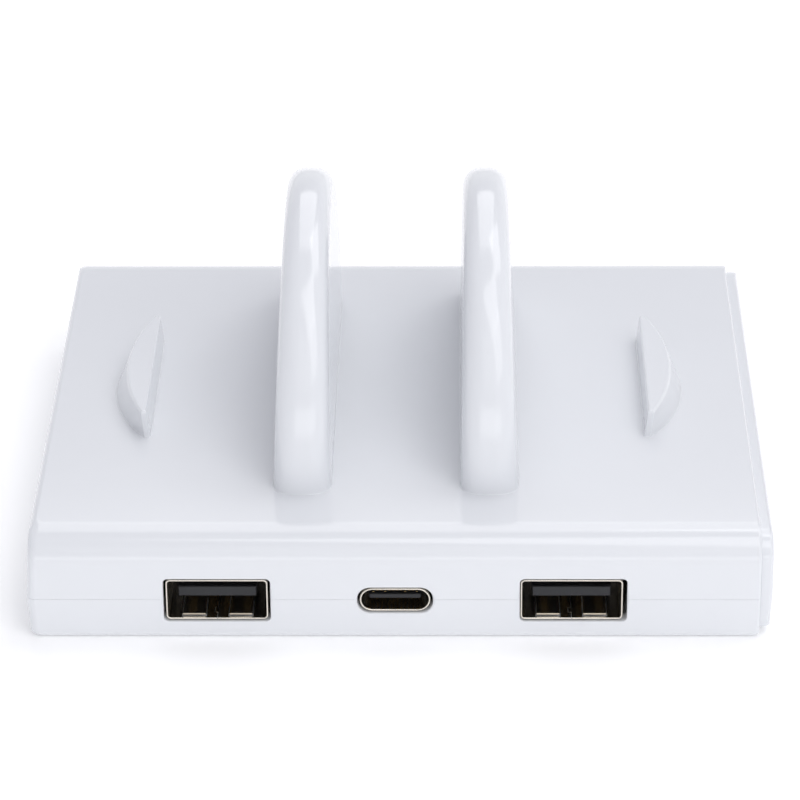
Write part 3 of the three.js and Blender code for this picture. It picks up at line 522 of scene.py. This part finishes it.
def make_carrier():
    """The drum that holds the two blades, with a flat above and below and moulded grip lines."""
    place = (PIVOT.x, PIVOT.z)
    half_drum, flat = DRUM["half"], DRUM["flat"]
    barrel = bar(place, -half_drum, half_drum, DRUM["radius"], 0.35)
    cuts = [block((PIVOT.x - 5, -10, PIVOT.z + flat), (PIVOT.x + 5, 10, PIVOT.z + 6)),
            block((PIVOT.x - 5, -10, PIVOT.z - 6), (PIVOT.x + 5, 10, PIVOT.z - flat))]
    for side in (-1, 1):
        middle = side * BLADE["spacing"] / 2
        half = BLADE["thickness"] / 2 + 0.1
        cuts.append(block((PIVOT.x - 5, middle - half, PIVOT.z - 1.6),
                          (PIVOT.x + 1.6, middle + half, PIVOT.z + 1.6)))
        low, high = sorted((side * (half_drum - 0.9), side * (half_drum + 1)))
        cuts.append(bar(place, low, high, AXLE["radius"] + 0.15))
    half = GRIP["half_width"]
    for line in range(GRIP["lines"]):
        y = GRIP["first"] + GRIP["pitch"] * line
        cuts.append(block((PIVOT.x - 2.0, y - half, PIVOT.z - flat - 1),
                          (PIVOT.x + 2.0, y + half, PIVOT.z - flat + GRIP["depth"])))
    return smooth(combined("plug_carrier_visual", barrel, ("DIFFERENCE", cuts)), edge=0.1)


def make_blade(name, side):
    """A flat blade with a rounded tip and a hole, and the trunnion that it turns and is fed by."""
    half = BLADE["width"] / 2
    start, reach = -BLADE["start"], -BLADE["reach"]
    root = AXLE["radius"]
    corners = [(root, -root), (root, root), (start, root), (start, half), (reach, half),
               (reach, -half), (start, -half), (start, -root)]
    radii = [0.3, 0.3, 0.3, 0.5, 1.6, 1.6, 0.5, 0.3]
    outline = rounded_polygon(corners, radii, 8)
    middle = side * BLADE["spacing"] / 2
    low, high = middle - BLADE["thickness"] / 2, middle + BLADE["thickness"] / 2
    place = (PIVOT.x, PIVOT.z)
    plate = loft("plate", [along_y(outline, low, place), along_y(outline, high, place)])
    trunnion = bar(place, *sorted((middle, side * AXLE["end"])), AXLE["radius"], 0.2)
    hole = bar((PIVOT.x + reach + 4.6, PIVOT.z), low - 1, high + 1, 1.6)
    piece = combined(name, plate, ("UNION", [trunnion]), ("DIFFERENCE", [hole]))
    return smooth(piece, edge=0.22, segments=3)


# ---------------------------------------------------------------- the receptacles


def sheet_tube(name, x, size):
    """A drawn sheet-metal shell along Y, with a rounded front edge."""
    back = PORT_FACE + size["length"]
    stations = [(back, 0.0), (PORT_FACE + 1.0, 0.0)]
    for step in range(9):
        turn = math.pi * step / 8
        y = PORT_FACE + SHEET / 2 * (1 - math.sin(turn))
        stations.append((y, SHEET / 2 * (1 - math.cos(turn))))
    stations += [(PORT_FACE + 1.0, SHEET), (back, SHEET)]
    rings = []
    for y, inset in stations:
        corner = max(size["corner"] - inset, 0.2)
        outline = rectangle(size["half_x"] - inset, size["half_z"] - inset, corner, 8)
        rings.append(along_y(outline, y, (x, PORT_HEIGHT)))
    return loft(name, rings, closed=True)


def bent_strip(name, middle_x, half_width, path, thickness):
    """A strip of sheet metal: path lists (y, z) points along its middle."""
    section = rectangle(half_width, thickness / 2, thickness * 0.35, 3)
    rings = []
    for index, (y, z) in enumerate(path):
        before, after = path[max(index - 1, 0)], path[min(index + 1, len(path) - 1)]
        along = (Vector(after) - Vector(before)).normalized()
        across = Vector((-along.y, along.x))
        rings.append([(middle_x + x, y + across.x * t, z + across.y * t) for x, t in section])
    return loft(name, rings)


def folded_seam(x, floor):
    """Cutters for the stepped line where the shell's sheet meets itself along its floor."""
    path = [(0.0, -0.2), (0.0, 1.3), (-0.4, 1.5), (-0.4, 2.4), (0.0, 2.6), (0.0, 6.0), (0.4, 6.2),
            (0.4, 7.0), (0.0, 9.0)]
    cutters = []
    for (x0, y0), (x1, y1) in zip(path, path[1:]):
        low = (x + min(x0, x1) - 0.05, PORT_FACE + y0, floor - 0.5)
        cutters.append(block(low, (x + max(x0, x1) + 0.05, PORT_FACE + y1, floor + 0.5)))
    return cutters


def spring_tab(x, floor):
    """A tab that rises out of the shell's floor towards the port's face and curls down at its end."""
    path = []
    for step in range(11):
        y = PORT_FACE + TAB["run"] - 0.68 * step
        path.append((y, floor + SHEET / 2 + TAB["rise"] * (step / 10) ** 1.3))
    path.append((path[-1][0] - 0.12, path[-1][1] - 0.02))
    return bent_strip("tab", x, TAB["half_width"], path, SHEET)


def make_usb_a_shell(name, x):
    """A receptacle shell with two spring tabs pressed up out of its floor, and a folded seam."""
    floor = PORT_HEIGHT - USB_A["half_z"]
    tab_places = [x - TAB["offset"], x + TAB["offset"]]
    windows = [block((place - TAB["window"], PORT_FACE + 0.35, floor - 0.5),
                     (place + TAB["window"], PORT_FACE + 7.2, floor + 0.5)) for place in tab_places]
    tabs = [spring_tab(place, floor) for place in tab_places]
    piece = combined(name, sheet_tube(name, x, USB_A),
                     ("DIFFERENCE", windows + folded_seam(x, floor)), ("UNION", tabs))
    return smooth(piece)


def make_usb_a_insulator(name, x):
    """The block at the back of a type A shell, and the tongue with a slot for each contact."""
    half_x = USB_A["half_x"] - SHEET - 0.1
    half_z = USB_A["half_z"] - SHEET - 0.1
    base = block((x - half_x, BASE_A["front"], PORT_HEIGHT - half_z),
                 (x + half_x, BASE_A["back"], PORT_HEIGHT + half_z))
    front, low, high = PORT_FACE + TONGUE_A["setback"], TONGUE_A["low"], TONGUE_A["high"]
    rings = []
    for y, inset in ((front, 0.22), (front + 0.08, 0.1), (front + 0.25, 0.0), (-30.0, 0.0)):
        outline = rectangle(TONGUE_A["half_width"] - inset, (high - low) / 2 - inset, 0.12, 4)
        rings.append(along_y(outline, y, (x, (low + high) / 2)))
    slots = [block((x + offset - 0.65, front + 0.5, low - 0.5), (x + offset + 0.65, -27.0, low + 0.02))
             for offset in CONTACT_OFFSETS]
    piece = combined(name, base, ("UNION", [loft("tongue", rings)]), ("DIFFERENCE", slots))
    return smooth(piece)


def make_usb_c_insulator(name):
    """The block at the back of the type C shell, and its thin tongue."""
    back = PORT_FACE + USB_C["length"]
    base = [along_y(rectangle(3.9, 1.06, 1.05), y, (0, PORT_HEIGHT)) for y in (back - 2.2, back - 0.3)]
    front, half_height = PORT_FACE + TONGUE_C["setback"], TONGUE_C["half_height"]
    rings = []
    for y, inset in ((front, 0.16), (front + 0.07, 0.06), (front + 0.25, 0.0), (back - 1.5, 0.0)):
        corner = 0.18 if inset < 0.1 else 0.1
        outline = rectangle(TONGUE_C["half_width"] - inset * 1.5, half_height - inset, corner, 4)
        rings.append(along_y(outline, y, (0, PORT_HEIGHT)))
    return smooth(combined(name, loft("base", base), ("UNION", [loft("tongue", rings)])))


def make_usb_c_pads(name):
    """The two rows of twelve contacts that lie on the tongue."""
    half, back = PAD["half_width"], PAD["back"]
    quads = [(0, 3, 2, 1), (4, 5, 6, 7), (0, 1, 5, 4), (1, 2, 6, 5), (2, 3, 7, 6), (3, 0, 4, 7)]
    vertices, faces = [], []
    for row in (-1, 1):
        for index in range(12):
            x = (index - 5.5) * PAD["pitch"]
            first = len(vertices)
            front = PORT_FACE + (1.45 if index in LONG_PADS else 1.75)
            for z in sorted((PORT_HEIGHT + row * PAD["low"], PORT_HEIGHT + row * PAD["high"])):
                vertices += [(x - half, front, z), (x + half, front, z), (x + half, back, z),
                             (x - half, back, z)]
            faces += [tuple(first + corner for corner in quad) for quad in quads]
    return smooth(new_piece(name, vertices, faces), edge=0.02)


def make_screw(name, place):
    """A pan-head screw with a cross recess. The profile lists (radius, height) from its head up."""
    profile = [(0.6, 0.5), (1.9, 0.52), (2.15, 0.62), (2.3, 0.85), (2.3, 2.0), (1.1, 2.0), (1.1, 9.6),
               (0.2, 10.8)]
    rings = [along_z(circle(radius, 40), z, place) for radius, z in profile]
    cross = [block((place[0] - half_x, place[1] - half_y, -0.5),
                   (place[0] + half_x, place[1] + half_y, 1.3))
             for half_x, half_y in ((1.3, 0.32), (0.32, 1.3))]
    return smooth(combined(name, loft("screw", rings), ("DIFFERENCE", cross)), edge=0.05)


# ---------------------------------------------------------------- materials


def material(name, color, roughness, metallic=0.0, grain=1.0, bump=0.0, tint=0.03, spread=0.06, **sockets):
    """A finish whose colour, roughness and surface vary finely. grain is the detail's size in mm."""
    made = bpy.data.materials.new(name)
    made.use_nodes = True
    nodes, links = made.node_tree.nodes, made.node_tree.links
    shader = nodes["Principled BSDF"]
    shader.inputs["Metallic"].default_value = metallic
    for socket, value in sockets.items():
        shader.inputs[socket.replace("_", " ")].default_value = value
    place = nodes.new("ShaderNodeTexCoord")

    def noise(size, detail):
        node = nodes.new("ShaderNodeTexNoise")
        node.inputs["Scale"].default_value = 1 / (size * MM)
        node.inputs["Detail"].default_value = detail
        links.new(place.outputs["Object"], node.inputs["Vector"])
        return node

    broad, fine = noise(grain * 8, 4), noise(grain, 6)
    ramp = nodes.new("ShaderNodeValToRGB")
    ramp.color_ramp.elements[0].position = 0.3
    ramp.color_ramp.elements[1].position = 0.7
    ramp.color_ramp.elements[0].color = (*[channel * (1 - tint) for channel in color], 1)
    ramp.color_ramp.elements[1].color = (*[min(channel * (1 + tint), 1) for channel in color], 1)
    links.new(broad.outputs["Fac"], ramp.inputs["Fac"])
    links.new(ramp.outputs["Color"], shader.inputs["Base Color"])
    rough = nodes.new("ShaderNodeMapRange")
    rough.inputs["To Min"].default_value = max(roughness - spread, 0.02)
    rough.inputs["To Max"].default_value = roughness + spread
    links.new(fine.outputs["Fac"], rough.inputs["Value"])
    links.new(rough.outputs["Result"], shader.inputs["Roughness"])
    if bump:
        relief = nodes.new("ShaderNodeBump")
        relief.inputs["Strength"].default_value = 1.0
        relief.inputs["Distance"].default_value = bump * MM
        links.new(fine.outputs["Fac"], relief.inputs["Height"])
        links.new(relief.outputs["Normal"], shader.inputs["Normal"])
    return made


LOOKS = {
    "white_gloss": dict(color=(0.775, 0.79, 0.815), roughness=0.14, grain=2.5, bump=0.004, tint=0.006,
                        spread=0.02, Specular_IOR_Level=0.5, Coat_Weight=0.35, Coat_Roughness=0.1),
    "white_plug": dict(color=(0.78, 0.79, 0.82), roughness=0.3, grain=0.5, bump=0.01, tint=0.01),
    "blade_metal": dict(color=(0.78, 0.72, 0.55), roughness=0.26, metallic=1.0,
                        grain=0.3, bump=0.004, tint=0.05),
    "spring_metal": dict(color=(0.72, 0.50, 0.27), roughness=0.32, metallic=1.0,
                         grain=0.4, bump=0.004, tint=0.06),
    "steel_shell": dict(color=(0.80, 0.75, 0.66), roughness=0.22, metallic=1.0,
                        grain=0.25, bump=0.003, tint=0.06),
    "contact_gold": dict(color=(0.86, 0.62, 0.28), roughness=0.25, metallic=1.0,
                         grain=0.2, bump=0.002, tint=0.05),
    "black_plastic": dict(color=(0.012, 0.013, 0.016), roughness=0.42,
                          grain=0.25, bump=0.006, tint=0.15),
    "screw_steel": dict(color=(0.50, 0.51, 0.53), roughness=0.34, metallic=1.0,
                        grain=0.3, bump=0.005, tint=0.08),
    "board": dict(color=(0.02, 0.14, 0.05), roughness=0.4, grain=0.8, bump=0.02, tint=0.25),
    "film": dict(color=(0.72, 0.70, 0.60), roughness=0.35, grain=1.5, bump=0.01, tint=0.05),
    "ferrite": dict(color=(0.035, 0.036, 0.04), roughness=0.6, grain=0.3, bump=0.03, tint=0.2),
    "tape": dict(color=(0.72, 0.50, 0.03), roughness=0.38, grain=1.0, bump=0.02, tint=0.08),
    "copper": dict(color=(0.72, 0.31, 0.13), roughness=0.28, metallic=1.0,
                   grain=0.3, bump=0.03, tint=0.12),
    "sleeve": dict(color=(0.02, 0.024, 0.035), roughness=0.33, grain=0.8, bump=0.01, tint=0.12),
    "can": dict(color=(0.66, 0.67, 0.69), roughness=0.3, metallic=1.0,
                grain=0.4, bump=0.006, tint=0.05),
    "box_yellow": dict(color=(0.74, 0.46, 0.04), roughness=0.4, grain=0.6, bump=0.01, tint=0.06),
    "disc_blue": dict(color=(0.03, 0.12, 0.42), roughness=0.35, grain=0.6, bump=0.02, tint=0.1),
    "chip": dict(color=(0.02, 0.02, 0.022), roughness=0.5, grain=0.2, bump=0.012, tint=0.2),
    "sheet_aluminium": dict(color=(0.70, 0.71, 0.73), roughness=0.36, metallic=1.0,
                            grain=0.5, bump=0.006, tint=0.05),
    "wire_black": dict(color=(0.015, 0.015, 0.016), roughness=0.4, grain=0.5, bump=0.01, tint=0.1),
    "wire_white": dict(color=(0.74, 0.74, 0.72), roughness=0.4, grain=0.5, bump=0.01, tint=0.03),
}
FINISHES = {name: material(name, **values) for name, values in LOOKS.items()}


def paint(piece, slot):
    piece.data.materials.clear()
    piece.data.materials.append(FINISHES[slot])


def place_piece(piece, slot, body, *nodes):
    """Gives a piece its finish, its body and the CAD nodes that it stands for."""
    paint(piece, slot)
    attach(piece, body)
    if nodes:
        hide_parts(*nodes)


# ---------------------------------------------------------------- the pieces

place_piece(make_top_housing(), "white_gloss", "charger_body", "top_housing")
place_piece(make_bottom_housing(), "white_gloss", "charger_body", "bottom_housing")
place_piece(make_end_cap(), "white_gloss", "charger_body", "plug_end_cap")
place_piece(make_carrier(), "white_plug", "folding_plug", "plug_carrier")
for word, side in (("front", -1), ("rear", 1)):
    node = f"plug_blade_{word}"
    place_piece(make_blade(f"{node}_visual", side), "blade_metal", "folding_plug", node)
for word, x in (("left", -PORT_SPACING), ("right", PORT_SPACING + RIGHT_PORT_SHIFT)):
    node = f"usb_a_{word}_shell"
    place_piece(make_usb_a_shell(f"{node}_visual", x), "steel_shell", "charger_body", node)
    node = f"usb_a_{word}_insulator"
    place_piece(make_usb_a_insulator(f"{node}_visual", x), "black_plastic", "charger_body", node)
usb_c_shell = smooth(sheet_tube("usb_c_shell_visual", 0.0, USB_C))
place_piece(usb_c_shell, "steel_shell", "charger_body", "usb_c_shell")
usb_c_insulator = make_usb_c_insulator("usb_c_insulator_visual")
place_piece(usb_c_insulator, "black_plastic", "charger_body", "usb_c_insulator")
place_piece(make_usb_c_pads("usb_c_contact_pads"), "contact_gold", "charger_body")
for index, place in enumerate(BOSSES):
    node = f"housing_screw_{index + 1}"
    place_piece(make_screw(f"{node}_visual", place), "screw_steel", "charger_body", node)

# The record says which slot each CAD node's finish comes from.
SLOT_OF = {part["node"]: part["material_slot"] for part in frame["record"]["subparts"]}
for name, piece in frame["nodes"].items():
    paint(piece, SLOT_OF[name])
    smooth(piece, edge=0.06)

# ---------------------------------------------------------------- camera, floor and light

CAMERA = {"place": (7.87, -469.9, 259.7), "down": 27.74, "yaw": -0.94, "roll": -0.47, "lens": 177.6}
FLOOR_REACH = 4000
RIG_DISTANCE = 1000
RIG_MIDDLE = (0, 0, 8)
# Each light's name, azimuth and elevation in degrees, power in watts, and width and height.
RIG = [
    ("key_high", 34, 68, 1.55, (500, 500)),
    ("key", 40, 42, 1.15, (500, 500)),
    ("front_low", 8, 10, 0.88, (900, 260)),
    ("front", 8, 40, 0.35, (500, 500)),
    ("rear_right_high", 125, 62, 1.45, (500, 500)),
    ("rear", 180, 54, 1.85, (500, 860)),
]


def aim(thing, place, target):
    thing.location = Vector(place) * MM
    thing.rotation_mode = "QUATERNION"
    thing.rotation_quaternion = (Vector(target) - Vector(place)).to_track_quat("-Z", "Y")


def make_camera():
    """A long lens in front of the ports, looking down at them."""
    elevation, yaw, roll = [math.radians(CAMERA[word]) for word in ("down", "yaw", "roll")]
    flat = math.cos(elevation)
    forward = Vector((math.sin(yaw) * flat, math.cos(yaw) * flat, -math.sin(elevation)))
    level = Vector((math.cos(yaw), -math.sin(yaw), 0))
    upright = level.cross(forward)
    across = math.cos(roll) * level + math.sin(roll) * upright
    upwards = -math.sin(roll) * level + math.cos(roll) * upright
    data = bpy.data.cameras.new("camera")
    data.sensor_width = 36.0
    data.lens = CAMERA["lens"]
    data.clip_start, data.clip_end = 0.01, 20.0
    camera = bpy.data.objects.new("camera", data)
    turn = Matrix((across, upwards, -forward)).transposed().to_4x4()
    camera.matrix_world = Matrix.Translation(Vector(CAMERA["place"]) * MM) @ turn
    bpy.context.scene.collection.objects.link(camera)
    bpy.context.scene.camera = camera


def softbox(name, azimuth, elevation, power, size):
    """A light at the rig's distance. Azimuth 0 is in front of the ports and 90 to their right."""
    around, up = math.radians(azimuth), math.radians(elevation)
    flat = math.cos(up)
    place = RIG_DISTANCE * Vector((math.sin(around) * flat, -math.cos(around) * flat, math.sin(up)))
    data = bpy.data.lights.new(name, "AREA")
    data.shape = "RECTANGLE"
    data.size, data.size_y = size[0] * MM, size[1] * MM
    data.energy = power
    light = bpy.data.objects.new(name, data)
    bpy.context.scene.collection.objects.link(light)
    aim(light, place + Vector(RIG_MIDDLE), RIG_MIDDLE)


def make_floor():
    reach = FLOOR_REACH
    corners = [(-reach, -reach, 0), (reach, -reach, 0), (reach, reach, 0), (-reach, reach, 0)]
    floor = new_piece("floor", corners, [(0, 1, 2, 3)])
    made = bpy.data.materials.new("floor_white")
    made.use_nodes = True
    shader = made.node_tree.nodes["Principled BSDF"]
    shader.inputs["Base Color"].default_value = (0.98, 0.98, 0.98, 1)
    shader.inputs["Roughness"].default_value = 0.7
    shader.inputs["Emission Color"].default_value = (1, 1, 1, 1)
    shader.inputs["Emission Strength"].default_value = 0.15
    floor.data.materials.append(made)


def make_world(horizon, zenith):
    """A plain studio: white walls round the horizon that darken towards the ceiling."""
    world = bpy.data.worlds.new("studio")
    world.use_nodes = True
    nodes, links = world.node_tree.nodes, world.node_tree.links
    place = nodes.new("ShaderNodeTexCoord")
    split = nodes.new("ShaderNodeSeparateXYZ")
    links.new(place.outputs["Generated"], split.inputs["Vector"])
    ramp = nodes.new("ShaderNodeValToRGB")
    ramp.color_ramp.elements[0].position = 0.1
    ramp.color_ramp.elements[1].position = 0.5
    ramp.color_ramp.elements[0].color = (*horizon, 1)
    ramp.color_ramp.elements[1].color = (*zenith, 1)
    links.new(split.outputs["Z"], ramp.inputs["Fac"])
    links.new(ramp.outputs["Color"], nodes["Background"].inputs["Color"])
    nodes["Background"].inputs["Strength"].default_value = 1.0
    bpy.context.scene.world = world


make_camera()
make_floor()
for name, azimuth, elevation, power, size in RIG:
    softbox(name, azimuth, elevation, power, size)

make_world(horizon=(0.84, 0.85, 0.88), zenith=(0.44, 0.44, 0.48))
bpy.context.scene.view_settings.view_transform = "Standard"
